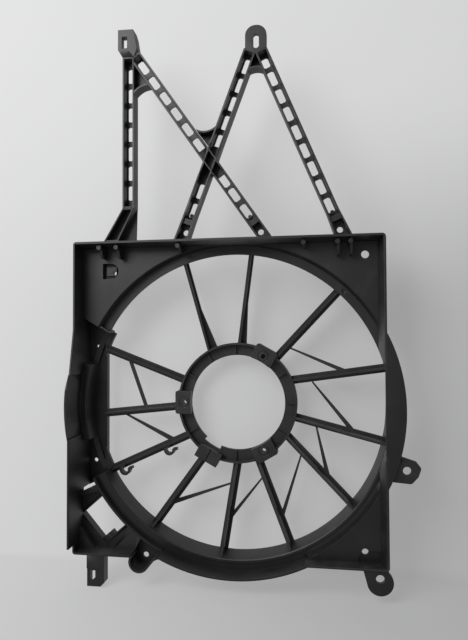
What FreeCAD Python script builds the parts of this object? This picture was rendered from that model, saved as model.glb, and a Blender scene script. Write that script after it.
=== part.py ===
"""Radiator fan shroud: one black moulding, built as one named piece per moulded feature.

Millimetres.  X is to the right and Z is up, both as seen from the radiator side.  Y runs away from the
radiator, towards the engine.  The origin is on the fan axis, on the seats of the three motor lugs.
"""
import FreeCAD, Part
import math
import os

V = FreeCAD.Vector
os.makedirs("parts", exist_ok=True)

# ---- levels along Y, from the radiator side to the engine side --------------------------------
rim_y = -50.0            # free edge of the skirt, it seats on the radiator
flap_y = -65.0           # the lower left wall stands taller than the rest of the skirt
low_plate_y = -34.0      # back plates in the two lower corners
plate_y = -24.0          # back plates in the two upper corners, flange of the fan ring
ledge_y = -13.0          # sunk ledge round the upper half of the fan ring
deep_y = 0.0             # deep plates at the left
tunnel_y = 2.0           # engine side end of the fan tunnel
chord_y = 12.0           # engine side end of the straight upright edge
wall = 2.5               # thickness of every wall and plate

# ---- skirt -------------------------------------------------------------------------------------
left_x, right_x = -193.0, 176.5
bottom_z, top_z = -177.0, 198.5
bulge_r = 197.0          # the skirt bulges round the fan ring on three sides
draft = 2.5              # extra thickness of the top and right walls at their root
corner_r = 4.0

# ---- fan ring ----------------------------------------------------------------------------------
opening_r = 180.0        # fan opening at the engine side
throat_r = 182.5         # the same opening at the radiator side
flange_r = 193.5         # raised flange round the lower half
ledge_r, ledge_edge_r = 194.0, 183.5
flare_r = 187.5          # upper half of the tunnel, which opens out towards the engine side
step_r = 196.5           # inner edge of the upper plates
chord_x = -170.0         # the opening is cut straight at the left
ring_from, ring_to = 207.5, 360.0 + 151.0     # the raised strip and the deep plates fill the rest
strip_from, strip_to = 165.0, 193.7
strip_r, strip_out_r = 186.5, 196.0           # the raised strip at the left
segment_edge_r = 187.0   # the flat segment at the left is sunk inside this circle
segment_y = 4.0
lip_r, lip_y = 193.0, -2.0                    # low sloping lip where the deep plates meet the ring

# ---- motor ring --------------------------------------------------------------------------------
motor_bore_r = 59.5
motor_r = 75.0
motor_rim_y, motor_floor_y, motor_back_y = 2.0, 10.0, 14.0
bolt_circle_r = 67.0
bolt_hole_r = 2.75
lug_angles = (180.0, 60.0, -60.0)
blind_angle = 60.0       # the hole in this lug doesn't go through
lug_width = 29.0
lug_reach = (58.5, 78.5)

# ---- arms above the box ------------------------------------------------------------------------
arm_y, arm_back_y = -46.0, -31.0
arm_width = 14.5
arm_skin = 2.0
window_long, window_wide, window_corner = 18.0, 8.4, 1.6

placed = []              # (name, shape) of every piece already placed


def at(angle, radius):
    """Point on a circle about the fan axis, as (x, z)."""
    a = math.radians(angle)
    return radius * math.cos(a), radius * math.sin(a)


def box(x0, x1, y0, y1, z0, z1):
    return Part.makeBox(x1 - x0, y1 - y0, z1 - z0, V(x0, y0, z0))


def disc(r, y0, y1, x=0.0, z=0.0):
    return Part.makeCylinder(r, y1 - y0, V(x, y0, z), V(0, 1, 0))


def plug(r0, r1, y0, y1):
    """Cone about the fan axis, radius r0 at y0 and r1 at y1."""
    return Part.makeCone(r0, r1, y1 - y0, V(0, y0, 0), V(0, 1, 0))


def tube(r_out, r_in, y0, y1, x=0.0, z=0.0):
    return disc(r_out, y0, y1, x, z).cut(disc(r_in, y0 - 1, y1 + 1, x, z))


def slab(points, y0, y1):
    """Flat outline of (x, z) corners, from depth y0 to depth y1."""
    wire = Part.makePolygon([V(x, y0, z) for x, z in points] + [V(points[0][0], y0, points[0][1])])
    return Part.Face(wire).extrude(V(0, y1 - y0, 0))


def sector(a0, a1, y0, y1, r=420.0):
    """Pie slice about the fan axis, from angle a0 to angle a1."""
    steps = max(2, int(math.ceil((a1 - a0) / 30.0)))
    rim = [at(a0 + (a1 - a0) * i / steps, r) for i in range(steps + 1)]
    return slab([(0.0, 0.0)] + rim, y0, y1)


def spun(profile, a0, a1):
    """Closed (radius, y) profile turned about the fan axis, from angle a0 to angle a1."""
    wire = Part.makePolygon([V(r, y, 0) for r, y in profile] + [V(profile[0][0], profile[0][1], 0)])
    face = Part.Face(wire)
    face.rotate(V(0, 0, 0), V(0, 1, 0), -a0)
    return face.revolve(V(0, 0, 0), V(0, -1, 0), a1 - a0)


def oriented(x, z, angle, length, width, y0, y1):
    """Box centred on (x, z), its length turned to the angle, from depth y0 to depth y1."""
    piece = box(-length / 2, length / 2, y0, y1, -width / 2, width / 2)
    piece.rotate(V(0, 0, 0), V(0, 1, 0), -angle)
    piece.translate(V(x, 0, z))
    return piece


def stadium(x, z, angle, length, width, y0, y1):
    """Round-ended slot centred on (x, z)."""
    a = math.radians(angle)
    reach = (length - width) / 2
    piece = oriented(x, z, angle, length - width, width, y0, y1)
    for side in (-1, 1):
        piece = piece.fuse(disc(width / 2, y0, y1, x + side * reach * math.cos(a),
                                z + side * reach * math.sin(a)))
    return piece.removeSplitter()


def rounded(shape, radius, test):
    """Fillet the edges that run along Y and pass the test on their (x, z)."""
    edges = []
    for edge in shape.Edges:
        a, b = edge.Vertexes[0].Point, edge.Vertexes[-1].Point
        if abs(a.x - b.x) < 1e-6 and abs(a.z - b.z) < 1e-6 and abs(a.y - b.y) > 0.5 and test(a.x, a.z):
            edges.append(edge)
    return shape.makeFillet(radius, edges) if edges else shape


def near(spots, reach=0.6):
    return lambda x, z: any(math.hypot(x - sx, z - sz) < reach for sx, sz in spots)


def place(name, shape, parts=1):
    """Trim a new piece to the pieces already placed, keep its biggest solids and write it out."""
    here = shape.BoundBox
    for other_name, other in placed:
        if here.intersect(other.BoundBox):
            shape = shape.cut(other)
    solids = sorted(shape.Solids, key=lambda s: -s.Volume)[:parts]
    shape = solids[0] if parts == 1 else Part.makeCompound(solids)
    placed.append((name, shape))
    shape.exportStep("parts/%s.step" % name)
    print("%-28s solids %d  volume %9.0f  valid %s" % (name, len(shape.Solids), shape.Volume,
                                                       shape.isValid()))
    return shape


# ================================ motor ring, lugs and block ====================================
motor_ring = tube(motor_r, motor_bore_r, motor_floor_y, motor_back_y)
motor_ring = motor_ring.fuse(tube(motor_r, motor_r - wall, motor_rim_y, motor_back_y))
seams = (150.0, 122.0, 92.0, 32.0, 0.0, -34.0, -92.0, 212.0)
for angle in seams:
    x, z = at(angle, (motor_r + motor_bore_r) / 2)
    motor_ring = motor_ring.fuse(oriented(x, z, angle, motor_r - motor_bore_r - 1.5, 1.6,
                                          motor_floor_y - 3.5, motor_floor_y + 0.5))
motor_ring = motor_ring.cut(disc(2.2, motor_floor_y - 1, motor_floor_y + 1.2, *at(88.0, bolt_circle_r)))
for angle in lug_angles:
    if angle != blind_angle:
        motor_ring = motor_ring.cut(disc(bolt_hole_r, -10, 30, *at(angle, bolt_circle_r)))
notch_from, notch_to = 228.0, 249.0                    # the bore is cut back beside the double block
notch = disc(motor_bore_r + 4.5, -10, 30).common(sector(notch_from, notch_to, -10, 30))
place("motor_ring", motor_ring.cut(notch).removeSplitter())

block_angle = 241.0
bx, bz = at(block_angle, 74.5)
block = oriented(bx, bz, block_angle, 17.0, 31.0, -3.0, motor_back_y)
block = block.cut(oriented(bx, bz, block_angle, 40.0, 1.0, -4.0, -1.5))
block = block.cut(disc(motor_bore_r + 4.5, -10, 30))


def lug(angle):
    mid = (lug_reach[0] + lug_reach[1]) / 2
    x, z = at(angle, mid)
    piece = oriented(x, z, angle, lug_reach[1] - lug_reach[0], lug_width, 0.0, motor_back_y)
    hx, hz = at(angle, bolt_circle_r)
    ends = []
    for side in (-1, 1):
        ox, oz = at(angle, lug_reach[1])
        ends.append((ox - side * math.sin(math.radians(angle)) * lug_width / 2,
                     oz + side * math.cos(math.radians(angle)) * lug_width / 2))
    piece = rounded(piece, 3.0, near(ends))
    piece = piece.cut(tube(6.6, 5.6, -1.0, 0.7, hx, hz))
    depth = motor_floor_y - 1.5 if angle == blind_angle else motor_back_y + 1.0
    return piece.cut(disc(bolt_hole_r, -1.0, depth, hx, hz)).cut(disc(motor_bore_r, -1, 30))


for name, angle in zip(("left", "upper", "lower"), lug_angles):
    place("motor_lug_" + name, lug(angle))
place("motor_double_block", block)

# ================================ fan ring ======================================================
tunnel = [(throat_r, plate_y), (throat_r + 1.2, plate_y - 1.0), (throat_r + 4.5, plate_y - 1.0),
          (throat_r + 5.0, plate_y), (throat_r + 2.2, plate_y + 3.0),
          (opening_r + wall, tunnel_y), (opening_r, tunnel_y)]
tunnel_top = [(ledge_edge_r, ledge_y), (ledge_edge_r + wall, ledge_y + wall),
              (flare_r + wall, tunnel_y), (flare_r, tunnel_y)]
place("fan_tunnel_lower", spun(tunnel, ring_from, 360.0))
place("fan_tunnel_upper", spun(tunnel_top, 0.0, ring_to - 360.0))
strip = [(strip_r, plate_y), (strip_r + 1.2, plate_y - 1.0), (strip_r + 3.5, plate_y - 1.0),
         (strip_r + 4.0, plate_y), (strip_out_r, plate_y), (strip_out_r, plate_y + wall),
         (strip_r + wall, plate_y + wall), (segment_edge_r + wall, deep_y), (segment_edge_r, deep_y)]
strip_end = [(strip_r, plate_y), (strip_out_r, plate_y), (strip_out_r, deep_y), (segment_edge_r, deep_y)]
strip_wall = 0.8                                       # end walls of the strip, in degrees
fan_strip = spun(strip, strip_from, strip_to)
for angle in (strip_from, strip_to - strip_wall):
    fan_strip = fan_strip.fuse(spun(strip_end, angle, angle + strip_wall))
place("fan_ring_strip_left", fan_strip.removeSplitter())

# The straight skirt wall on the right hides the ring beyond it, so the flange stops there.
inside_right = box(-300, right_x - wall, -100, 50, -300, 300)
ledge = [(step_r, plate_y), (step_r + wall, plate_y + wall), (ledge_r + wall, ledge_y + wall),
         (ledge_edge_r, ledge_y + wall), (ledge_edge_r, ledge_y), (ledge_r, ledge_y)]
fan_ledge = spun(ledge, 0.0, ring_to - 360.0).common(inside_right)
fan_ledge = fan_ledge.common(box(-300, 300, -100, 50, -300, top_z - wall))
fan_ledge = fan_ledge.cut(disc(2.2, ledge_y - 1, ledge_y + 1.2, *at(46.0, 189.5)))
place("fan_ledge_upper", fan_ledge)

flange = [(throat_r + 2.0, plate_y), (flange_r, plate_y), (flange_r, low_plate_y),
          (flange_r + wall, low_plate_y), (flange_r + wall, plate_y + wall),
          (throat_r + 2.0, plate_y + wall)]
inside_bottom = box(-300, 300, -100, 50, bottom_z + wall, 300)
flange_low = spun(flange, ring_from, 360.0).common(inside_right).common(inside_bottom)
flat_flange = spun([(throat_r + 2.0, plate_y), (bulge_r - wall, plate_y), (bulge_r - wall, plate_y + wall),
                    (throat_r + 2.0, plate_y + wall)], 240.0, 300.0)
low_gap = box(-86.5, 86.5, -100, 50, -300, -140)
flange_low = flange_low.cut(spun([(flange_r - 0.01, -60), (220, -60), (220, plate_y), (flange_r - 0.01, plate_y)],
                                 240.0, 300.0).common(low_gap))
flange_low = flange_low.fuse(flat_flange.common(low_gap))
flange_end = [(throat_r + 2.0, plate_y), (flange_r, plate_y), (flange_r, deep_y), (throat_r + 2.0, deep_y)]
flange_low = flange_low.fuse(spun(flange_end, ring_from, ring_from + strip_wall)).removeSplitter()
place("fan_flange_lower", flange_low)

# ================================ skirt =========================================================
def wall_along_x(x0, x1, z_out, y0, y1, taper, upward):
    """Skirt wall seen from its end: wall thick at the free edge, thicker by the taper at its root."""
    s = 1.0 if upward else -1.0
    ends = [(z_out, y0), (z_out - s * wall, y0), (z_out - s * (wall + taper), y1), (z_out, y1)]
    wire = Part.makePolygon([V(x0, y, z) for z, y in ends] + [V(x0, ends[0][1], ends[0][0])])
    return Part.Face(wire).extrude(V(x1 - x0, 0, 0))


def wall_along_z(z0, z1, x_out, y0, y1, taper, rightward):
    s = 1.0 if rightward else -1.0
    ends = [(x_out, y0), (x_out - s * wall, y0), (x_out - s * (wall + taper), y1), (x_out, y1)]
    wire = Part.makePolygon([V(x, y, z0) for x, y in ends] + [V(ends[0][0], ends[0][1], z0)])
    return Part.Face(wire).extrude(V(0, 0, z1 - z0))


bulge_z = math.sqrt(bulge_r ** 2 - right_x ** 2)      # where the bulge leaves the right wall
bulge_x = math.sqrt(bulge_r ** 2 - bottom_z ** 2)     # where it leaves the bottom wall
bulge_l = math.sqrt(bulge_r ** 2 - left_x ** 2)       # where it leaves the left wall
root = wall                                           # walls reach the back of their plates
clear = disc(throat_r, -120, 60)                       # nothing stands inside the fan opening

outline = box(left_x, right_x, -120, 60, bottom_z, top_z)
outline = rounded(outline, corner_r, near([(left_x, top_z), (right_x, top_z), (left_x, bottom_z),
                                           (right_x, bottom_z)]))

top = wall_along_x(left_x, right_x, top_z, rim_y, plate_y + root, draft, True)
place("skirt_top", top.common(outline).cut(disc(ledge_r, -120, ledge_y)))

right_wall = wall_along_z(0, top_z - wall, right_x, rim_y, plate_y + root, 4.0, True)
place("skirt_right_upper", right_wall.common(outline).cut(clear))
right_wall = wall_along_z(bottom_z, 0, right_x, rim_y, low_plate_y + root, 5.5, True)
right_wall = right_wall.fuse(wall_along_z(-150, 0, right_x, low_plate_y, plate_y + root, 5.5, True))
place("skirt_right_lower", right_wall.common(outline).cut(clear))


def bulge_wall(a0, a1, y0, y1):
    return spun([(bulge_r - wall, y0), (bulge_r, y0), (bulge_r, y1), (bulge_r - wall, y1)], a0, a1)


bulge = bulge_wall(-27.5, 27.5, rim_y, plate_y + root)
face = spun([(throat_r, plate_y), (bulge_r - wall, plate_y), (bulge_r - wall, plate_y + root),
             (throat_r, plate_y + root)], -31.0, 31.0)
bulge = bulge.common(box(right_x, 300, -120, 60, -bulge_z, bulge_z))
bulge = bulge.fuse(face.common(box(right_x - wall, 300, -60, 0, -bulge_z, bulge_z)))
cover = disc(bulge_r, rim_y, rim_y + wall).common(box(right_x - wall, 300, -120, 60, -bulge_z, bulge_z))
place("skirt_right_bulge", bulge.fuse(cover).removeSplitter())

bulge = bulge_wall(235.0, 305.0, rim_y, plate_y + root)
ear_x, ear_z, ear_r = -110.3, -182.0, 12.6             # teardrop ear on the bottom wall
ear_hole_x, ear_hole_z, ear_hole_r = -109.2, -182.7, 3.4
ear_slope = math.radians(50.6)                         # direction of its straight lower right side


def teardrop(r, y0, y1):
    """Ear outline: round about the ear centre, running out to a point where the bulge starts."""
    nx, nz = math.sin(ear_slope), -math.cos(ear_slope)
    x0, z0 = ear_x + r * nx, ear_z + r * nz
    rise = (bottom_z + wall - z0) / math.sin(ear_slope)
    tip = (x0 + rise * math.cos(ear_slope), bottom_z + wall)
    return disc(r, y0, y1, ear_x, ear_z).fuse(
        slab([(ear_x, ear_z), (x0, z0), tip, (ear_x - 6.0, bottom_z + wall)], y0, y1)).removeSplitter()


ear_disc = teardrop(ear_r, rim_y, plate_y + wall)
bulge = bulge.common(box(-bulge_x, bulge_x, -120, 60, -300, bottom_z + wall)).cut(ear_disc)
place("skirt_bottom_bulge", bulge)
bottom = wall_along_x(left_x, right_x, bottom_z, rim_y, low_plate_y + root, 0.8, False).common(outline)
place("skirt_bottom_right", bottom.common(box(bulge_x - 3, 300, -120, 60, -300, 0)))
ear_out = ear_disc.fuse(box(ear_x, ear_x + 40, -120, 60, -300, -100))
bottom = wall_along_x(left_x, ear_x, bottom_z, rim_y, plate_y + root, 0.8, False).common(outline)
place("skirt_bottom_left", bottom.cut(ear_out))

# The left wall rises towards the flap, reaches down to the deep plates and bulges round the ring.
rise_top, rise_low = 92.0, 20.0
flap_low = bottom_z + 11.0
deep_from, deep_to = -105.0, 108.5
ramp = Part.makePolygon([V(-300, rim_y, 400), V(-300, -120, 400), V(-300, -120, rise_low),
                         V(-300, flap_y, rise_low), V(-300, rim_y, rise_top), V(-300, rim_y, 400)])
ramp = Part.Face(ramp).extrude(V(300, 0, 0))
bulge_lap = bulge_l + 1.0
side = box(left_x, left_x + wall, flap_y, plate_y + root, bottom_z, top_z).cut(ramp)
side = side.fuse(box(left_x, left_x + wall, plate_y, deep_y + root, deep_from, deep_to))
side = side.cut(box(-300, 0, -120, rim_y, -300, flap_low)).common(outline)
side_bulge = bulge_wall(160.0, 200.0, flap_y, plate_y + root + 1).cut(ramp)
shelf = spun([(190.0, plate_y - 2), (bulge_r, plate_y - 2), (bulge_r, plate_y + root + 1),
              (190.0, plate_y + root + 1)], 160.0, 200.0)
side_bulge = side_bulge.fuse(shelf).common(box(-300, left_x, -120, 60, -bulge_lap, bulge_lap))
side = side.cut(box(left_x - 1, left_x + wall + 1, -120, plate_y - 2, 2 - bulge_l, bulge_l - 2))
place("skirt_left_bulge", side_bulge.removeSplitter())
place("skirt_left_upper", side.common(box(-300, 0, -120, 60, 0, 300)))
place("skirt_left_flap", side.common(box(-300, 0, -120, 60, -300, 0)))

# ================================ plates ========================================================
in_skirt = box(left_x, right_x, -120, 60, bottom_z, top_z)
step_high = (left_x, 108.5)                            # slanted step between the upper and deep plates
step_low = at(151.0, 182.0)

upper = slab([(left_x, 108.5), step_low, (-100, 100), (-30, 120), (-30, top_z), (left_x, top_z)],
             plate_y, plate_y + wall).cut(disc(step_r, -120, 60))
pocket_z, pocket_flat_x, pocket_round_x, pocket_r = 165.0, -165.0, -154.5, 9.5
pocket_y, pocket_step_y = plate_y + 8.0, plate_y + 4.0


def pocket_outline(grow, y0, y1):
    """D-shaped recess: straight at the left, round at the right."""
    r = pocket_r + grow
    return box(pocket_flat_x - grow, pocket_round_x, y0, y1, pocket_z - r, pocket_z + r).fuse(
        disc(r, y0, y1, pocket_round_x, pocket_z)).removeSplitter()


pocket = pocket_outline(wall, plate_y, pocket_y + wall).cut(pocket_outline(0.0, plate_y - 1, pocket_y))
pocket = pocket.fuse(box(-161.5, -148.5, pocket_step_y, pocket_y + 0.5, 159.5, 170.5)).removeSplitter()
pocket = pocket.cut(disc(2.4, -60, 60, -151.0, 163.0))
upper = upper.cut(pocket_outline(wall, -60, 60)).fuse(pocket)
place("plate_upper_left", upper.removeSplitter())
upper = slab([(30, 120), (100, 100), (176, 0), (right_x, 0), (right_x, top_z), (30, top_z)],
             plate_y, plate_y + wall).cut(disc(step_r, -120, 60)).cut(disc(4.5, -60, 0, 155.8, 178.4))
place("plate_upper_right", upper)

low = slab([(bulge_x, bottom_z), (right_x, bottom_z), (right_x, -50), (100, -100)],
           low_plate_y, low_plate_y + wall).cut(disc(flange_r + wall, -120, 60))
low = low.cut(disc(3.8, -60, 0, 151.5, -162.0))
step = slab([(144.5, -167.5), (149.0, -161.5), (right_x, -160.5), (right_x, bottom_z), (144.5, bottom_z)],
            low_plate_y, low_plate_y + wall)
sunk = slab([(144.5, -167.5), (149.0, -161.5), (right_x, -160.5), (right_x, bottom_z), (144.5, bottom_z)],
            low_plate_y + 2.0, low_plate_y + 2.0 + wall)
place("plate_lower_right", low.cut(step).fuse(sunk.cut(disc(3.8, -60, 0, 151.5, -162.0))).removeSplitter())

# Deep plates either side of the strip, and the flat segment that ends in the upright edge.
deep_top = slab([step_high, step_low, at(151.0, 150.0), at(strip_from, 150.0), at(strip_from, 240.0)],
                deep_y, deep_y + wall).common(in_skirt).cut(disc(lip_r, -60, 60))
deep_top = deep_top.fuse(slab([(left_x, 108.5), step_low, (step_low[0], step_low[1] + wall),
                               (left_x, 108.5 + wall)], plate_y + wall, deep_y + wall)).removeSplitter()
place("deep_plate_upper", deep_top.cut(disc(1.9, -60, 60, -180.6, 71.1)))
deep_low = slab([at(strip_to, 150.0), at(ring_from, 150.0), (-168.9, -95.4), (left_x, -107.1), (-240, -60)],
                deep_y, deep_y + wall).common(in_skirt).cut(disc(lip_r, -60, 60))
place("deep_plate_lower", deep_low.cut(disc(2.6, -60, 60, -183.3, -75.1)))
segment = disc(segment_edge_r, segment_y, segment_y + wall).common(box(-300, chord_x, -60, 60, -100, 100))
edge_z = math.sqrt(segment_edge_r ** 2 - chord_x ** 2)
segment = segment.fuse(box(chord_x - wall, chord_x, segment_y, chord_y, -edge_z - 0.8, edge_z + 0.8))
lip = [(lip_r, lip_y), (lip_r, deep_y + wall), (segment_edge_r + wall, segment_y + wall),
       (segment_edge_r, segment_y + wall), (segment_edge_r, deep_y)]
lips = spun(lip, ring_to - 360.0, ring_from)
low_lip = [(segment_edge_r + 0.5, deep_y), (segment_edge_r + 0.5, segment_y + wall), (opening_r, segment_y + wall),
           (opening_r, deep_y + 1.5)]
ends = spun(low_lip, ring_to - 360.0, 161.0).fuse(spun(low_lip, 199.0, ring_from))
past_chord = box(chord_x - 1.0, 0, -60, 60, -150, 150)
segment = segment.fuse(lips).fuse(ends.common(past_chord)).common(in_skirt).removeSplitter()
place("segment_plate_left", segment)

# ================================ lower left corner and relay pocket ============================
relay_x, relay_z, relay_long, relay_wide = -163.2, -141.9, 45.0, 33.7
relay_angle = -49.0                                    # direction of the long side of the window


def on_relay(along, across):
    """Point in the relay pocket, measured along and across its long side, as (x, z)."""
    a = math.radians(relay_angle)
    return (relay_x + along * math.cos(a) - across * math.sin(a),
            relay_z + along * math.sin(a) + across * math.cos(a))


def relay_block(along0, along1, across0, across1, y0, y1):
    x, z = on_relay((along0 + along1) / 2, (across0 + across1) / 2)
    return oriented(x, z, relay_angle, along1 - along0, across1 - across0, y0, y1)


raised_skin = 2.0


def raised(points, y0, y1):
    """Raised flat pocket: a plate on top and walls round it, open on the engine side."""
    rim = Part.makePolygon([V(x, y0, z) for x, z in points] + [V(points[0][0], y0, points[0][1])])
    solid = Part.Face(rim).extrude(V(0, y1 - y0, 0))
    hollow = Part.Face(rim.makeOffset2D(-raised_skin)).extrude(V(0, y1 - y0, 0))
    hollow.translate(V(0, raised_skin, 0))
    return solid.cut(hollow)


inner_left, inner_bottom = left_x + wall, bottom_z + wall
ridge = [(inner_left, -108.4), (-168.9, -97.9), (-164.7, -104.6), (inner_left, -113.7)]
floor = slab([ridge[0], ridge[1], at(ring_from, 175.0), (-100, -120), (-84.0, inner_bottom - 2.0),
              (ear_x, inner_bottom), (inner_left, inner_bottom)], plate_y, plate_y + wall)
floor = floor.fuse(teardrop(ear_r, plate_y, plate_y + wall))
floor = floor.cut(disc(flange_r, -120, 60))
half_long, half_wide = relay_long / 2, relay_wide / 2
sleeve_long, sleeve_wide = half_long + 3.5, half_wide + 2.0
sleeve = relay_block(-sleeve_long, sleeve_long, -sleeve_wide, sleeve_wide, -120, 60)
window = relay_block(-half_long, half_long, -half_wide, half_wide, -120, 60)
floor = floor.cut(sleeve).cut(disc(ear_hole_r, -60, 60, ear_hole_x, ear_hole_z))
back_step = slab([(inner_left, -105.9), (-168.9, -95.4), (-167.9, -97.4), (inner_left, -108.4)],
                 plate_y, deep_y + wall)
ridge_bar = slab(ridge, low_plate_y + 4.0, plate_y + wall).cut(sleeve)
floor = floor.fuse(back_step.common(in_skirt)).fuse(ridge_bar)
channel_rib = relay_block(-half_long, half_long, -sleeve_wide - 3.5, -sleeve_wide - 1.9,
                          plate_y - 5.0, plate_y + wall)
place("plate_lower_left", floor.fuse(channel_rib.common(in_skirt)).removeSplitter())

frame_y = plate_y + 11.0
frame = sleeve.common(box(-300, 0, plate_y, frame_y, -300, 0)).cut(window)
for across in (-16.5, -7.5):                           # blocks near the lowest corner that hold the relay
    frame = frame.fuse(relay_block(half_long - 5.5, half_long + 0.5, across, across + 5.2,
                                   plate_y + 1.5, frame_y))
frame = frame.cut(disc(flange_r, -120, 60))
place("relay_frame", frame.removeSplitter())

left_tri = [(inner_left, -149.9), (inner_left, inner_bottom), (-170.9, inner_bottom)]
right_tri = [(-128.8, -148.1), (-112.7, -159.8), (-120.5, inner_bottom), (-147.7, inner_bottom)]
corner = raised(left_tri, low_plate_y, plate_y).cut(disc(2.4, -60, low_plate_y + 1.2, -186.9, -167.8))
place("relay_raised_plates", Part.makeCompound([corner, raised(right_tri, low_plate_y, plate_y)]), 2)

ear = ear_disc.cut(teardrop(ear_r - wall, rim_y - 1, plate_y + wall + 1))
ear = ear.common(box(-300, 0, -120, 60, -300, bottom_z + 1.5))
place("ear_lower_left", ear)

# ================================ spokes, braces and clips ======================================
hub_rib_y, hub_back_y = 3.0, motor_back_y
low_rib_y, high_rib_y, side_rib_y = -21.0, -11.0, -7.0  # near edge of the ribs where they meet the ring
rib, flange_thick = 2.5, 3.0
narrow, broad = 6.5, 10.2                              # widths of the flanges
spokes = [("01", 119.0, 110.0, narrow, 7.5), ("02", 87.5, 83.9, narrow, 5.0),
          ("03", 48.9, 47.6, broad, 0), ("04", 23.0, 13.8, broad, 0),
          ("05", 346.2, 346.4, broad, 0), ("06", 327.1, 319.6, broad, 0),
          ("07", 290.2, 291.3, broad, 0), ("08", 270.0, 264.6, broad, 0),
          ("09", 238.4, 235.7, broad, 0), ("10", 214.2, 208.0, broad, 0),
          ("11", 184.3, 185.0, broad, 0), ("12", 158.0, 158.0, broad, 0)]
fan_space = plug(throat_r, opening_r, plate_y, tunnel_y).fuse(disc(opening_r, tunnel_y, 30))
flare_space = plug(throat_r, flare_r + 1.0, plate_y, tunnel_y).fuse(disc(flare_r + 1.0, tunnel_y, 30))
past_edge = box(-300, chord_x, -120, 60, -100, 100)


def back_level(radius):
    """Engine side of the spokes, which rise from the ring to the motor ring."""
    return hub_back_y + (tunnel_y - hub_back_y) * (radius - motor_r) / (opening_r - motor_r)


def along_line(p, q, profile, thick0, thick1):
    """Prism between (x, z) points p and q: a (distance, y) profile, its thickness changing along it."""
    length = math.hypot(q[0] - p[0], q[1] - p[1])
    pieces = []
    for end, thick in ((0, thick0), (1, thick1)):
        pieces.append([(d, y, thick / 2) for d, y, at_end in profile if at_end == end])
    corners = []
    for side in (-1, 1):
        ring = []
        for end in (0, 1):
            ordered = pieces[end] if end == 0 else pieces[end][::-1]
            ring += [V(d * length, y, side * t) for d, y, t in ordered]
        corners.append(Part.makePolygon(ring + [ring[0]]))
    solid = Part.makeLoft(corners, True, True)
    angle = math.degrees(math.atan2(q[1] - p[1], q[0] - p[0]))
    solid.rotate(V(0, 0, 0), V(0, 1, 0), -angle)
    solid.translate(V(p[0], 0, p[1]))
    return solid


def flange(p, q, y_p, y_q, width_p, width_q):
    """Flat bar along the engine side of a spoke, from (x, z) point p to q."""
    return along_line(p, q, [(0, y_p - flange_thick, 0), (0, y_p, 0), (1, y_q - flange_thick, 1), (1, y_q, 1)],
                      width_p, width_q)


def spoke(hub_angle, rim_angle, width, extra):
    """T section: a flange at the back and a rib on it.  The flange of two spokes widens to the hub."""
    high = 0.0 < rim_angle < 130.0
    p, q = at(hub_angle, motor_r - 3.0), at(rim_angle, flare_r + 2.0 if high else opening_r + 3.5)
    if high:
        near_y = high_rib_y
    elif 150.0 < rim_angle < 210.0:
        near_y = side_rib_y
    else:
        near_y = low_rib_y
    whole = along_line(p, q, [(0, hub_rib_y, 0), (0, hub_back_y, 0), (1, near_y, 1), (1, tunnel_y, 1)],
                       rib, rib)
    whole = whole.fuse(flange(p, q, hub_back_y, tunnel_y, width, width))
    if extra:
        middle = ((p[0] + q[0]) / 2, (p[1] + q[1]) / 2)
        run = math.hypot(q[0] - p[0], q[1] - p[1])
        right = ((q[1] - p[1]) / run, -(q[0] - p[0]) / run)
        hub_end = (p[0] + right[0] * extra / 2, p[1] + right[1] * extra / 2)
        whole = whole.fuse(flange(hub_end, middle, hub_back_y - 0.3, (hub_back_y + tunnel_y) / 2 - 0.3,
                                  width + extra, width - 1.0))
    whole = whole.cut(disc(motor_r, -120, 60)).common(flare_space if high else fan_space)
    if 150.0 < rim_angle < 195.0:
        whole = whole.cut(past_edge)
    return whole.removeSplitter()


for number, hub_angle, rim_angle, width, extra in spokes:
    place("spoke_" + number, spoke(hub_angle, rim_angle, width, extra))

# Flat braces between neighbouring spokes: (x, z) of both ends, and the width at both ends.
braces = [((66.1, 68.3), (139.1, 37.6), 1.8, 5.6), ((96.5, 22.5), (138.5, -28.4), 1.8, 5.6),
          ((97.3, -26.7), (111.4, -87.6), 1.8, 5.6), ((79.9, -60.3), (57.2, -132.5), 1.8, 4.6),
          ((30.0, -94.0), (-8.1, -141.4), 1.8, 4.6), ((-9.2, -101.5), (-83.0, -126.5), 1.8, 5.6),
          ((-143.0, -17.2), (-85.5, -47.6), 1.8, 6.0), ((-137.6, 49.0), (-118.7, -6.5), 4.3, 4.3)]
brace_lap, brace_thick = 5.0, 2.4


def brace(p, q, width_p, width_q):
    run = math.hypot(q[0] - p[0], q[1] - p[1])
    ux, uz = (q[0] - p[0]) / run * brace_lap, (q[1] - p[1]) / run * brace_lap
    p, q = (p[0] - ux, p[1] - uz), (q[0] + ux, q[1] + uz)
    far_p, far_q = (back_level(math.hypot(*end)) - 0.3 for end in (p, q))
    return along_line(p, q, [(0, far_p - brace_thick, 0), (0, far_p, 0), (1, far_q - brace_thick, 1),
                             (1, far_q, 1)], width_p, width_q)


rods = [brace(*ends) for ends in braces]
rods = [piece.cut(Part.makeCompound([s for _, s in placed if s.BoundBox.intersect(piece.BoundBox)]))
        for piece in rods]
rods = [max(piece.Solids, key=lambda s: s.Volume) for piece in rods]
place("spoke_braces", Part.makeCompound(rods), len(rods))


clip_r = 7.0


def wire_clip(x, z, angle):
    """Open hook on the side of a spoke: three quarters of a ring that holds a wire."""
    level = back_level(math.hypot(x, z))
    piece = tube(clip_r, clip_r - 3.2, level - 9.0, level - 1.0, x, z)
    gap = [(x, z)] + [(x + 20 * math.cos(math.radians(a)), z + 20 * math.sin(math.radians(a)))
                      for a in (angle - 35, angle, angle + 35)]
    tip = math.radians(angle - 42)
    piece = piece.cut(slab(gap, -60, 60))
    return piece.fuse(oriented(x + (clip_r + 0.5) * math.cos(tip), z + (clip_r + 0.5) * math.sin(tip), angle - 42,
                               5.0, 3.0, level - 9.0, level - 1.0)).removeSplitter()


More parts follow.
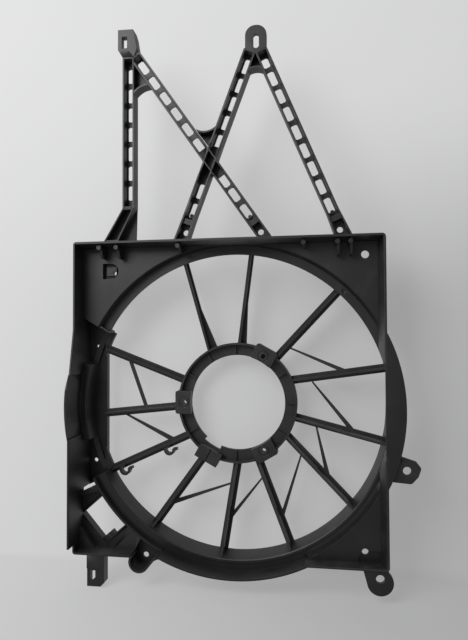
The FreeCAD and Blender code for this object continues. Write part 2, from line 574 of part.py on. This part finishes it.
clips = [wire_clip(-87.0, -60.5, 50.0), wire_clip(-143.0, -85.5, 60.0)]
place("wire_clips", Part.makeCompound(clips), 2)

# ================================ arms above the box ============================================
arm_web = 2.5                                          # floor of each channel
floor_y = arm_back_y - arm_web


def channel(points):
    """Tray with the given outline: side walls and a floor, open towards the radiator."""
    rim = Part.makePolygon([V(x, arm_y, z) for x, z in points] + [V(points[0][0], arm_y, points[0][1])])
    solid = Part.Face(rim).extrude(V(0, arm_back_y - arm_y, 0))
    hollow = Part.Face(rim.makeOffset2D(-arm_skin)).extrude(V(0, floor_y - arm_y, 0))
    return solid.cut(hollow)


def arm_window(x, z, angle, length, width=window_wide):
    """Window in the floor of a channel, with cut corners."""
    a, b, cut = length / 2, width / 2, window_corner
    quarter = [(a, b - cut), (a - cut, b)]
    half = quarter + [(-x, z) for x, z in quarter[::-1]]
    piece = slab(half + [(-x, -z) for x, z in half], arm_y - 10, arm_back_y + 10)
    piece.rotate(V(0, 0, 0), V(0, 1, 0), -angle)
    piece.translate(V(x, 0, z))
    return piece


def arm(top, direction, start, end, windows, foot_width, short=(), hole=None, block=None):
    """Straight channel along a direction from a top point, with a row of windows in its floor."""
    dx, dz = direction
    angle = math.degrees(math.atan2(dz, dx))

    def spot(along, across=0.0):
        return top[0] + along * dx - across * dz, top[1] + along * dz + across * dx

    half, foot = arm_width / 2, foot_width / 2
    flare = end - 40.0 if foot_width > arm_width else end
    outline = [spot(start, -half), spot(flare, -half)]
    if flare < end:
        outline += [spot(end, -foot), spot(end, foot), spot(flare, half)]
    else:
        outline += [spot(end, half)]
    outline.append(spot(start, half))
    piece = channel(outline)
    for along in windows:
        x, z = spot(along)
        length = 12.0 if along in short else window_long
        piece = piece.cut(arm_window(x, z, angle, length))
    if block is not None:
        x, z = spot(block)
        across = arm_width - 0.5
        piece = piece.fuse(oriented(x, z, angle, 6.5, across, arm_y + 2.5, floor_y + 0.5))
        x, z = spot(block - 9.0)
        piece = piece.fuse(disc(2.3, floor_y - 2.5, floor_y + 0.5, x, z))
    if hole is not None:
        x, z = spot(hole)
        piece = piece.cut(disc(3.5, -60, -20, x, z))
    return piece


above_box = box(-300, 300, -120, 60, top_z, 600)
diag_dir, mid_dir, right_dir = (0.5696, -0.822), (-0.3533, -0.9355), (0.388, -0.9217)
cross_x, cross_z = -24.4, 292.0
middle_width, right_width = 16.5, 19.5

left_arm_x = (-131.8, -117.3)
left_windows = (414.2, 389.8, 366.0, 341.8, 317.7, 293.4, 268.8)
left_mid = (left_arm_x[0] + left_arm_x[1]) / 2
piece = arm((left_mid, 423.0), (0.0, -1.0), 0.0, 184.5, [423.0 - (z - 9.2) for z in left_windows],
               arm_width)
place("arm_left", piece)

foot_outline = [(-131.8, 238.5), (-117.3, 238.5), (-137.3, top_z), (-155.7, top_z)]
piece = channel(foot_outline)
gusset = slab([(-117.3, 238.5), (-137.3, top_z), (-118.5, top_z)], arm_back_y - 2.5, arm_back_y)
place("arm_left_foot", piece.fuse(gusset).common(above_box).removeSplitter())

piece = arm((-109.4, 414.6), diag_dir, -12.0, 262.9 + 12, (0, 24.1, 48.3, 72.7, 97.1, 121.2,
                       175.7, 197.3, 221.6), arm_width, hole=253.1, block=240.0)
lower_cut = box(-300, 300, -120, 60, cross_z, 600)
middle = arm((18.7, 406.1), mid_dir, -15.0, 222.0 + 8, (0, 23.7, 47.0, 71.0, 95.3, 158.5, 183.2),
                       middle_width, hole=211.4, block=199.0)
arms_here = []                                         # both channels run through the crossing
for direction in (diag_dir, mid_dir):
    angle = math.degrees(math.atan2(direction[1], direction[0]))
    arms_here.append((direction, angle, arm_width))
crossing_long = 40.0
hub = None
for direction, angle, width in arms_here:
    bar = oriented(cross_x, cross_z, angle, crossing_long, width, arm_y, arm_back_y)
    hub = bar if hub is None else hub.fuse(bar)
hub = hub.removeSplitter()
hub_walls = hub.common(box(-300, 300, floor_y, arm_back_y, 0, 600))
for direction, angle, width in arms_here:
    for side in (-1, 1):
        off = side * (width - arm_skin) / 2
        rx, rz = cross_x - off * direction[1], cross_z + off * direction[0]
        ribbed = oriented(rx, rz, angle, crossing_long, arm_skin, arm_y, floor_y + 0.5)
        hub_walls = hub_walls.fuse(ribbed.common(hub))
place("arm_crossing", hub_walls.removeSplitter())
for name, shape in (("arm_diagonal", piece), ("arm_middle", middle)):
    shape = shape.common(above_box)
    place(name + "_upper", shape.common(lower_cut))
    place(name + "_lower", shape.cut(lower_cut))

piece = arm((41.7, 408.5), right_dir, -12.0, 228.5 + 8, (0, 20.6, 44.1, 67.7, 92.1, 116.3, 139.9,
                        163.7, 187.8), right_width, short=(0,), hole=219.3, block=206.0)
place("arm_right", piece.common(above_box))

# ---- webs, clip box and tab ----
clip_outline = [(-137.8, 457.5), (-118.5, 457.1), (-116.0, 448.3), (-113.5, 433.3), (-117.3, 423.0),
                (-131.8, 423.0), (-137.8, 432.8)]
clip_box = slab(clip_outline, arm_y, arm_back_y)
clip_box = clip_box.cut(box(-132.5, -126.3, -60, 0, 434.5, 448.3))
place("clip_box", clip_box)
def arch(points, r, x, z):
    """Web between two arms: a floor, and a full-height wall along its round free edge."""
    web = slab(points, floor_y, arm_back_y)
    web = web.fuse(slab(points, arm_y, arm_back_y).common(disc(r + arm_skin, arm_y, arm_back_y, x, z)))
    return web.cut(disc(r, -60, 0, x, z)).removeSplitter()


arches = [arch([(-117.3, 423.0), (-84.0, 378.0), (-117.3, 378.0)], 23.0, -99.0, 364.0)]
tab = box(18.5, 43.9, arm_y, arm_y + 5.0, 412.0, 449.0)
tab = rounded(tab, 12.0, near([(18.5, 449.0), (43.9, 449.0)]))
tab = tab.fuse(slab([(18.5, 415.0), (31.2, 409.0), (43.9, 415.0), (43.9, 421.0), (31.2, 413.0),
                     (18.5, 421.0)], arm_y, arm_back_y))
tab = tab.cut(stadium(31.4, 430.0, 90.0, 17.0, 6.8, -60, 0))
place("tab_top", tab.removeSplitter())
arches.append(arch([(31.2, 424.0), (52.0, 384.0), (10.0, 384.0)], 17.6, 31.0, 381.0))
arches.append(arch([(cross_x - 2.0, cross_z + 18.0), (-52.0, 345.0), (-8.0, 345.0)], 20.0, -30.5, 347.0))
arches = [web.cut(Part.makeCompound([s for _, s in placed])) for web in arches]
arches = [max(web.Solids, key=lambda s: s.Volume) for web in arches]
place("arm_arches", Part.makeCompound(arches), 3)

# ================================ fixing points and gussets =====================================
leg = slab([(-174.6, bottom_z), (-174.6, -213.7), (-158.0, -213.7), (-152.7, -208.5), (-152.7, bottom_z)],
           rim_y, rim_y + 12.5)
leg = leg.cut(box(-180, -157.5, rim_y - 1, rim_y + 1.5, -220, -192.3))
leg = leg.cut(box(-172.1, -155.2, rim_y + 4.0, rim_y + 14, -211.2, bottom_z - wall))
leg = leg.cut(slab([(-170.8, -195.0), (-164.4, -195.0), (-164.4, -203.0), (-168.6, -206.8), (-170.8, -206.8)],
                   -60, 0))
place("leg_lower_left", leg)

corner_ear = disc(14.5, rim_y + 2, rim_y + 7, 166.5, -190.0)
corner_ear = corner_ear.fuse(slab([(148.2, -177.6), (152.6, -194.0), (180.6, -192.0), (173.6, -172.1)],
                                  rim_y + 2, rim_y + 7))
place("ear_lower_right", corner_ear.cut(disc(4.75, -60, 0, 166.4, -186.0)).removeSplitter())
side_ear = slab([(188.0, -50.0), (206.8, -56.1), (212.3, -63.6), (209.0, -73.0), (201.7, -81.1),
                 (181.4, -79.5), (178.0, -70.0)], rim_y + 4, rim_y + 8)
side_ear = rounded(side_ear, 4.0, near([(206.8, -56.1), (212.3, -63.6), (209.0, -73.0), (201.7, -81.1)]))
place("ear_right", side_ear.cut(disc(4.5, -60, 0, 196.8, -66.5)))

gusset_y, gusset_low_y, gusset_thick, knob_r = -45.0, -39.0, 3.0, 2.8
under_wall = top_z - wall - draft
gussets = []
for x, low_z in ((-162.5, 179.7), (-140.8, 179.1), (-64.4, 184.6), (84.3, 187.0), (123.0, 177.2),
                 (137.7, 176.8)):
    face = Part.makePolygon([V(x, gusset_y, top_z), V(x, plate_y, top_z), V(x, plate_y, low_z),
                             V(x, gusset_low_y + 4.0, low_z), V(x, gusset_low_y, low_z + 4.0),
                             V(x, gusset_y, top_z)])
    blade = Part.Face(face).extrude(V(gusset_thick, 0, 0))
    knob = disc(knob_r, gusset_y - 1.0, plate_y, x + 0.5, under_wall - 2.0)
    blade = blade.fuse(knob).removeSplitter().cut(Part.makeCompound([s for _, s in placed]))
    gussets.append(max(blade.Solids, key=lambda s: s.Volume))
place("top_wall_gussets", Part.makeCompound(gussets), 6)

print("pieces", len(placed))
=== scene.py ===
import math

import bmesh
import bpy
from mathutils import Euler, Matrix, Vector
from mathutils.bvhtree import BVHTree


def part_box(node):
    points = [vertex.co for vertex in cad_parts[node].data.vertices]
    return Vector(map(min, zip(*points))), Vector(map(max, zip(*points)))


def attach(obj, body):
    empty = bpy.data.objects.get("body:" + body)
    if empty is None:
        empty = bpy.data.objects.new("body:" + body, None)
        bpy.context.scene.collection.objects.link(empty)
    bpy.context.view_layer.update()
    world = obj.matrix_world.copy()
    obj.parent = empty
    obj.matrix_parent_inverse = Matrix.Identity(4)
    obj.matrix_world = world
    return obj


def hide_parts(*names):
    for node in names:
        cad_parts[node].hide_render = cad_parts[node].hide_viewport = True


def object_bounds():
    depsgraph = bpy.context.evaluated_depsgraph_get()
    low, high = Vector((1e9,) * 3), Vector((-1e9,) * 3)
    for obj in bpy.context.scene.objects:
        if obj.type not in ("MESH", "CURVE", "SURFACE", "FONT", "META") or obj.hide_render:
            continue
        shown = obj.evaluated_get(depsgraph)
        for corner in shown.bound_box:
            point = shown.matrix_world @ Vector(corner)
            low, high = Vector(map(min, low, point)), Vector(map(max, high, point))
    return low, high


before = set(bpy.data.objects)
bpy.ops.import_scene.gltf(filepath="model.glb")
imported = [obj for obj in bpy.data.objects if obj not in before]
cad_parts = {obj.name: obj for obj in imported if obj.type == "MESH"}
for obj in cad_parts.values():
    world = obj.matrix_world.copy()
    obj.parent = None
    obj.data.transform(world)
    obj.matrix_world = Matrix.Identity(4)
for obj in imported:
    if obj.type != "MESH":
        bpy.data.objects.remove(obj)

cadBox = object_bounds()
mm = 0.001
print("frame loaded:", len(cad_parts), "nodes")


# wraps a socket, so shader maths reads as plain sums
class Sock:
    def __init__(self, tree, link):
        self.tree, self.link = tree, link

    def maths(self, operation, *values):
        return node(self.tree, "ShaderNodeMath", {"operation": operation}, *values)

    def __add__(self, other): return self.maths("ADD", self, other)
    def __radd__(self, other): return self.maths("ADD", other, self)
    def __sub__(self, other): return self.maths("SUBTRACT", self, other)
    def __rsub__(self, other): return self.maths("SUBTRACT", other, self)
    def __mul__(self, other): return self.maths("MULTIPLY", self, other)
    def __rmul__(self, other): return self.maths("MULTIPLY", other, self)
    def clip(self): return node(self.tree, "ShaderNodeClamp", {}, self)


def node(tree, kind, settings, *values, out=0, **named):
    made = tree.nodes.new(kind)
    for key, value in settings.items():
        setattr(made, key, value)
    for key, value in [*enumerate(values), *named.items()]:
        socket = made.inputs[key.replace("_", " ") if isinstance(key, str) else key]
        if isinstance(value, Sock):
            tree.links.new(value.link, socket)
        else:
            socket.default_value = value
    return Sock(tree, made.outputs[out])


def newMaterial(name):
    material = bpy.data.materials.new(name)
    material.use_nodes = True
    tree = material.node_tree
    shader = tree.nodes["Principled BSDF"]
    return material, tree, shader


def mixColour(tree, factor, first, second):
    mix = tree.nodes.new("ShaderNodeMix")
    mix.data_type = "RGBA"
    for socket, value in ((mix.inputs[0], factor), (mix.inputs[6], first), (mix.inputs[7], second)):
        if isinstance(value, Sock):
            tree.links.new(value.link, socket)
        else:
            socket.default_value = value
    return Sock(tree, mix.outputs[2])


def eased(tree, value, span, ends):    # smooth fade from one end value to the other over a span
    return node(tree, "ShaderNodeMapRange", {"interpolation_type": "SMOOTHSTEP"}, value,
                From_Min=span[0], From_Max=span[1], To_Min=ends[0], To_Max=ends[1])


# black plastic: chalky flow marks, fine mould grain and a little dust on upward faces
plasticLook = {"base": (0.0125, 0.0125, 0.0135), "chalky": (0.034, 0.034, 0.036), "dust": (0.11, 0.11, 0.11),
               "roughLow": 0.34, "roughHigh": 0.56, "dustRough": 0.8, "ior": 1.5,
               "flowSize": 9.0, "flowDetail": 4.0, "flowTwist": 1.4, "flowFrom": 0.42, "flowGain": 2.2,
               "blotchSize": 46.0, "blotchDetail": 5.0, "blotchFrom": 0.5, "blotchGain": 1.3,
               "grainSize": 1500.0, "grainDetail": 2.0, "grainHeight": 0.00005, "bump": 0.35, "pitSize": 0.22,
               "dustAmount": 0.16, "dustSlope": 1.3, "dustPatch": 1.6, "dustFrom": 0.35,
               "roughMix": (0.6, 0.4), "heightMix": (0.7, 0.3)}


def mouldedPlastic(name, look):
    material, tree, shader = newMaterial(name)
    place = node(tree, "ShaderNodeTexCoord", {}, out=3)
    flow = node(tree, "ShaderNodeTexNoise", {}, Vector=place, Scale=look["flowSize"],
                Detail=look["flowDetail"], Distortion=look["flowTwist"])
    blotch = node(tree, "ShaderNodeTexNoise", {}, Vector=place, Scale=look["blotchSize"],
                  Detail=look["blotchDetail"])
    grain = node(tree, "ShaderNodeTexNoise", {}, Vector=place, Scale=look["grainSize"],
                 Detail=look["grainDetail"])
    pits = node(tree, "ShaderNodeTexVoronoi", {}, Vector=place, Scale=look["grainSize"] * look["pitSize"])
    normal = node(tree, "ShaderNodeNewGeometry", {}, out=1)
    upward = node(tree, "ShaderNodeSeparateXYZ", {}, normal, out=2)
    chalk = ((flow - look["flowFrom"]) * look["flowGain"]
             + (blotch - look["blotchFrom"]) * look["blotchGain"]).clip()
    tone = mixColour(tree, chalk, (*look["base"], 1.0), (*look["chalky"], 1.0))
    dust = ((upward * look["dustSlope"] - look["dustFrom"]).clip()
            * (blotch * look["dustPatch"] - look["dustFrom"]).clip() * look["dustAmount"])
    tone = mixColour(tree, dust, tone, (*look["dust"], 1.0))
    tree.links.new(tone.link, shader.inputs["Base Color"])
    spread = look["roughHigh"] - look["roughLow"]
    fromBlotch, fromGrain = look["roughMix"]
    rough = look["roughLow"] + (blotch * fromBlotch + grain * fromGrain) * spread + dust * look["dustRough"]
    tree.links.new(rough.link, shader.inputs["Roughness"])
    shader.inputs["IOR"].default_value = look["ior"]
    grainShare, pitShare = look["heightMix"]
    height = grain * grainShare + pits * pitShare
    bump = tree.nodes.new("ShaderNodeBump")
    bump.inputs["Strength"].default_value = look["bump"]
    bump.inputs["Distance"].default_value = look["grainHeight"]
    tree.links.new(height.link, bump.inputs["Height"])
    tree.links.new(bump.outputs[0], shader.inputs["Normal"])
    return material


# the same plastic a little darker, as painted shade on the shelf outside the box, the leg and the low parts
paintedShadeLook = {**plasticLook, "base": (0.0085, 0.0085, 0.0092), "chalky": (0.017, 0.017, 0.018),
              "dust": (0.06, 0.06, 0.06)}
paintedShadeNodes = {"skirt_right_bulge", "plate_lower_right", "leg_lower_left", "ear_lower_right",
               "fan_tunnel_lower", "fan_flange_lower", "skirt_bottom_bulge", "skirt_left_flap"}

plastic = mouldedPlastic("blackPlastic", plasticLook)
# a darker copy of the plastic: painted shade, not a different plastic
paintedShadePlastic = mouldedPlastic("paintedShadePlastic", paintedShadeLook)
print("materials made")


def objectFrom(bm, name, material=None):
    mesh = bpy.data.meshes.new(name)
    bm.to_mesh(mesh)
    bm.free()
    if material:
        mesh.materials.append(material)
    made = bpy.data.objects.new(name, mesh)
    bpy.context.scene.collection.objects.link(made)
    return made


def pulled(bm, grown, shift):    # moves the new vertices of an extrusion
    bmesh.ops.translate(bm, verts=[v for v in grown if isinstance(v, bmesh.types.BMVert)], vec=shift)


# every moulded feature again, with its free edges rounded as a mould leaves them
roundLook = {"edge": 0.55 * mm, "thinEdge": 0.25 * mm, "sharpFrom": math.radians(28.0), "touch": 0.04 * mm,
             "segments": 2, "merge": 0.004 * mm, "mergeAfter": 0.001 * mm, "flat": math.radians(0.6),
             "smoothTo": math.radians(32.0), "shares": (0.2, 0.5, 0.8), "touchesToMeet": 2,
             "contact": 0.12 * mm, "inset": 0.15, "facing": -0.8, "tuck": 0.16 * mm, "least": 0.01,
             "reach": 1.0 * mm}
thinNodes = ("wire_clips", "motor_ring", "top_wall_gussets", "relay_frame", "tab_top")


def treeOf(item):
    return BVHTree.FromPolygons([v.co.copy() for v in item.data.vertices],
                                [tuple(p.vertices) for p in item.data.polygons])


searchTrees = {name: treeOf(item) for name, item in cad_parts.items()}
boxes = {name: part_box(name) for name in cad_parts}


def boxesMeet(first, second, gap):
    (lowA, highA), (lowB, highB) = boxes[first], boxes[second]
    return all(lowA[i] - gap < highB[i] and lowB[i] - gap < highA[i] for i in range(3))


def isFree(edge, neighbours, look):
    a, b = edge.verts[0].co, edge.verts[1].co
    touching = 0
    for share in look["shares"]:
        spot = a.lerp(b, share)
        for tree in neighbours:
            if tree.find_nearest(spot, look["touch"])[0] is not None:
                touching += 1
                break
    return touching < look["touchesToMeet"]


def meets(face, neighbours, look):
    centre = face.calc_center_median()
    hits = 0
    for spot in [centre] + [vert.co.lerp(centre, look["inset"]) for vert in face.verts]:
        for tree in neighbours:
            where, normal, _, distance = tree.find_nearest(spot, look["contact"])
            if where is not None and normal.dot(face.normal) < look["facing"]:
                hits += 1
                break
    return hits >= look["touchesToMeet"]


# faces that lie against a neighbour go a hair into it, so no light shows through the joints
def tuckIn(bm, neighbours, look):
    shift = {}
    for face in bm.faces:
        if meets(face, neighbours, look):
            for vert in face.verts:
                shift[vert] = shift.get(vert, Vector()) + face.normal
    for vert, push in shift.items():
        if push.length > look["least"]:
            vert.co += push.normalized() * look["tuck"]


def roundedNode(name, look, material):
    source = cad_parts[name]
    bm = bmesh.new()
    bm.from_mesh(source.data)
    bmesh.ops.remove_doubles(bm, verts=bm.verts, dist=look["merge"])
    bmesh.ops.dissolve_limit(bm, angle_limit=look["flat"], verts=bm.verts, edges=bm.edges, delimit={"NORMAL"})
    neighbours = [searchTrees[other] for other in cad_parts
                  if other != name and boxesMeet(name, other, look["reach"])]
    sharp = [edge for edge in bm.edges
             if len(edge.link_faces) == 2 and edge.calc_face_angle(0.0) > look["sharpFrom"]
             and isFree(edge, neighbours, look)]
    width = look["thinEdge"] if name in thinNodes else look["edge"]
    bmesh.ops.bevel(bm, geom=sharp, offset=width, offset_type="OFFSET", segments=look["segments"],
                    profile=0.5, affect="EDGES", clamp_overlap=True, material=-1, loop_slide=True)
    bmesh.ops.remove_doubles(bm, verts=bm.verts, dist=look["mergeAfter"])
    bmesh.ops.triangulate(bm, faces=[face for face in bm.faces if len(face.verts) > 4])
    bm.normal_update()
    tuckIn(bm, neighbours, look)
    piece = objectFrom(bm, name + "_moulded", material)
    piece.data.shade_smooth()
    piece.data.set_sharp_from_angle(angle=look["smoothTo"])
    weighted = piece.modifiers.new("faces", "WEIGHTED_NORMAL")
    weighted.keep_sharp = True
    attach(piece, "root")
    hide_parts(name)
    return piece


# the listed low pieces get the darker copy, which is painted shade
moulded = {name: roundedNode(name, roundLook, paintedShadePlastic if name in paintedShadeNodes else plastic)
           for name in sorted(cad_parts)}
print("moulded pieces:", len(moulded))

# two thin floors that close gaps in the solids: the corner beside the relay window, and the web
# between the lower left ear and the bulging wall
floorLook = {"thick": 2.5, "level": -24.0, "pieces": {
    "relayCornerFloor": ((-191.5, -137.5), (-160.5, -173.2), (-161.0, -175.5), (-191.5, -175.5)),
    "earWeb": ((-95.5, -177.5), (-88.5, -179.5), (-91.8, -187.6), (-96.0, -188.4), (-99.5, -190.4),
               (-101.5, -187.5))}}


def thinFloor(name, points, look, material):
    bm = bmesh.new()
    face = bm.faces.new([bm.verts.new((x * mm, look["level"] * mm, z * mm)) for x, z in points])
    grown = bmesh.ops.extrude_face_region(bm, geom=[face])["geom"]
    pulled(bm, grown, (0, look["thick"] * mm, 0))
    bmesh.ops.recalc_face_normals(bm, faces=bm.faces)
    piece = objectFrom(bm, name, material)
    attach(piece, "root")


for name, points in floorLook["pieces"].items():
    thinFloor(name, points, floorLook, plastic)

# the clip box is hollowed from behind, so the sides of its slot are less deep
hollowLook = {"low": (-135.2, -42.5, 431.5), "high": (-121.5, -25.0, 452.0)}


def hollowFromBehind(piece, look):
    low, high = Vector(look["low"]) * mm, Vector(look["high"]) * mm
    bm = bmesh.new()
    bmesh.ops.create_cube(bm, size=1.0)
    bmesh.ops.scale(bm, vec=high - low, verts=bm.verts)
    bmesh.ops.translate(bm, vec=(low + high) / 2, verts=bm.verts)
    cutter = objectFrom(bm, "hollowCutter")
    cut = piece.modifiers.new("hollow", "BOOLEAN")
    cut.operation, cut.object, cut.solver = "DIFFERENCE", cutter, "EXACT"
    seen = piece.evaluated_get(bpy.context.evaluated_depsgraph_get())
    piece.data = bpy.data.meshes.new_from_object(seen)
    piece.modifiers.clear()
    bpy.data.objects.remove(cutter)


hollowFromBehind(moulded["clip_box"], hollowLook)
print("thin floors and clip box done")

# pale paper under and behind the shroud; it glows with painted light that is brighter at the left and top,
# and with painted shade that is darker at the right
sweepLook = {"colour": (0.72, 0.725, 0.73), "behind": 0.032, "bend": 0.012, "reach": 3.0, "rise": 3.0,
             "steps": 12, "under": 0.0006, "paintedGlow": 0.62, "paintedLightLeft": 0.72, "paintedShadeRight": 0.42, "paintedLightTop": 0.74,
             "floorPaintedShade": 0.72, "fadeX": (-0.42, 0.36), "fadeZ": (0.10, 0.42)}


def paleSweep(look):
    floorZ = cadBox[0][2] - look["under"]
    bm = bmesh.new()
    points = [(-look["reach"], floorZ)]
    turn, bend = look["steps"], look["bend"]
    for step in range(turn + 1):
        angle = math.radians(90.0 * step / turn)
        points.append((look["behind"] - bend + bend * math.sin(angle),
                       floorZ + bend - bend * math.cos(angle)))
    points.append((look["behind"], floorZ + look["rise"]))
    spots = [bm.verts.new((-look["reach"], y, z)) for y, z in points]
    lines = [bm.edges.new(pair) for pair in zip(spots, spots[1:])]
    grown = bmesh.ops.extrude_edge_only(bm, edges=lines)["geom"]
    pulled(bm, grown, (2 * look["reach"], 0, 0))
    bmesh.ops.recalc_face_normals(bm, faces=bm.faces)
    bm.faces.ensure_lookup_table()
    if max(bm.faces, key=lambda f: f.calc_center_median().z).normal.y > 0:
        bmesh.ops.reverse_faces(bm, faces=bm.faces)
    sweep = objectFrom(bm, "paleSweep", palePaper(look))
    sweep.data.shade_smooth()


def palePaper(look):
    material, tree, shader = newMaterial("palePaper")
    tree.nodes.remove(shader)
    place = node(tree, "ShaderNodeTexCoord", {}, out=3)
    across = node(tree, "ShaderNodeSeparateXYZ", {}, place, out=0)
    height = node(tree, "ShaderNodeSeparateXYZ", {}, place, out=2)
    # painted light and shade: the glow is bright at the left and top and darker at the right, where the
    # shroud's shadow and the fall of the lamp's light lie
    share = eased(tree, across, look["fadeX"], (look["paintedLightLeft"], look["paintedShadeRight"]))
    above = eased(tree, height, look["fadeZ"], (0.0, 1.0))
    level = share + (look["paintedLightTop"] - share) * above
    upward = node(tree, "ShaderNodeSeparateXYZ", {}, node(tree, "ShaderNodeNewGeometry", {}, out=1), out=2)
    paintedGlow = tree.nodes.new("ShaderNodeEmission")
    tone = node(tree, "ShaderNodeCombineColor", {}, level, level, level)
    tree.links.new(tone.link, paintedGlow.inputs[0])
    matt = tree.nodes.new("ShaderNodeBsdfDiffuse")
    # painted shade: faces that look up, the floor, get a darker colour than the backdrop to offset the lamp's
    # light from above
    paintedFloorShade = 1.0 - upward.clip() * (1.0 - look["floorPaintedShade"])
    shade = node(tree, "ShaderNodeCombineColor", {}, *[paintedFloorShade * part for part in look["colour"]])
    tree.links.new(shade.link, matt.inputs[0])
    # most of the paper is painted glow, which lightens the shadows cast on it
    paper = tree.nodes.new("ShaderNodeMixShader")
    paper.inputs[0].default_value = look["paintedGlow"]
    tree.links.new(matt.outputs[0], paper.inputs[1])
    tree.links.new(paintedGlow.outputs[0], paper.inputs[2])
    clear = tree.nodes.new("ShaderNodeBsdfTransparent")
    seen = node(tree, "ShaderNodeLightPath", {}, out=0)
    back = node(tree, "ShaderNodeNewGeometry", {}, out=6)
    mix = tree.nodes.new("ShaderNodeMixShader")
    tree.links.new((seen * (1.0 - back)).link, mix.inputs[0])
    tree.links.new(clear.outputs[0], mix.inputs[1])
    tree.links.new(paper.outputs[0], mix.inputs[2])
    tree.links.new(mix.outputs[0], tree.nodes["Material Output"].inputs[0])
    return material


paleSweep(sweepLook)
print("paper done")

# one soft lamp in front at the upper left, and an even pale room that is dimmer at the right
keyLook = {"at": (-0.55, -0.85, 0.72), "aim": (0, 0, 0.02), "watts": 9.5, "size": 0.7}
worldLook = {"front": 0.40, "behind": 0.5, "depthSpan": (-0.5, 0.6), "leftShare": 1.2, "rightShare": 0.55,
             "sideSpan": (-0.7, 0.7), "frontFrom": 0.3, "camera": (0.66, 0.66, 0.67)}


def softBox(name, look):
    data = bpy.data.lights.new(name, "AREA")
    data.energy, data.size = look["watts"], look["size"]
    lamp = bpy.data.objects.new(name, data)
    lamp.location = look["at"]
    lamp.rotation_euler = (Vector(look["aim"]) - lamp.location).to_track_quat("-Z", "Y").to_euler()
    bpy.context.scene.collection.objects.link(lamp)


softBox("key", keyLook)


def paleWorld(look):
    world = bpy.data.worlds.new("studio")
    bpy.context.scene.world = world
    world.use_nodes = True
    tree = world.node_tree
    ground = tree.nodes["Background"]
    heading = node(tree, "ShaderNodeTexCoord", {}, out=0)
    depth = node(tree, "ShaderNodeSeparateXYZ", {}, heading, out=1)
    level = eased(tree, depth, look["depthSpan"], (look["front"], look["behind"]))
    across = node(tree, "ShaderNodeSeparateXYZ", {}, heading, out=0)
    share = eased(tree, across, look["sideSpan"], (look["leftShare"], look["rightShare"]))
    inFront = (look["frontFrom"] - depth).clip()
    level = level * (1.0 - inFront + inFront * share)
    seen = node(tree, "ShaderNodeLightPath", {}, out=0)
    shade = node(tree, "ShaderNodeCombineColor", {}, level, level, level)
    tone = mixColour(tree, seen, shade, (*look["camera"], 1.0))
    tree.links.new(tone.link, ground.inputs[0])


paleWorld(worldLook)
print("lights done")

cameraLook = {"at": (0.0982, -0.6796, 0.0855), "turn": (91.505, 0.263, 8.472), "lens": 30.93, "sensor": 36.0}


def setCamera(look):
    data = bpy.data.cameras.new("view")
    data.lens, data.sensor_width = look["lens"], look["sensor"]
    camera = bpy.data.objects.new("view", data)
    camera.location = look["at"]
    camera.rotation_euler = Euler([math.radians(angle) for angle in look["turn"]])
    bpy.context.scene.collection.objects.link(camera)
    bpy.context.scene.camera = camera


setCamera(cameraLook)
bpy.context.scene.view_settings.view_transform = "Standard"

print("scene ready")
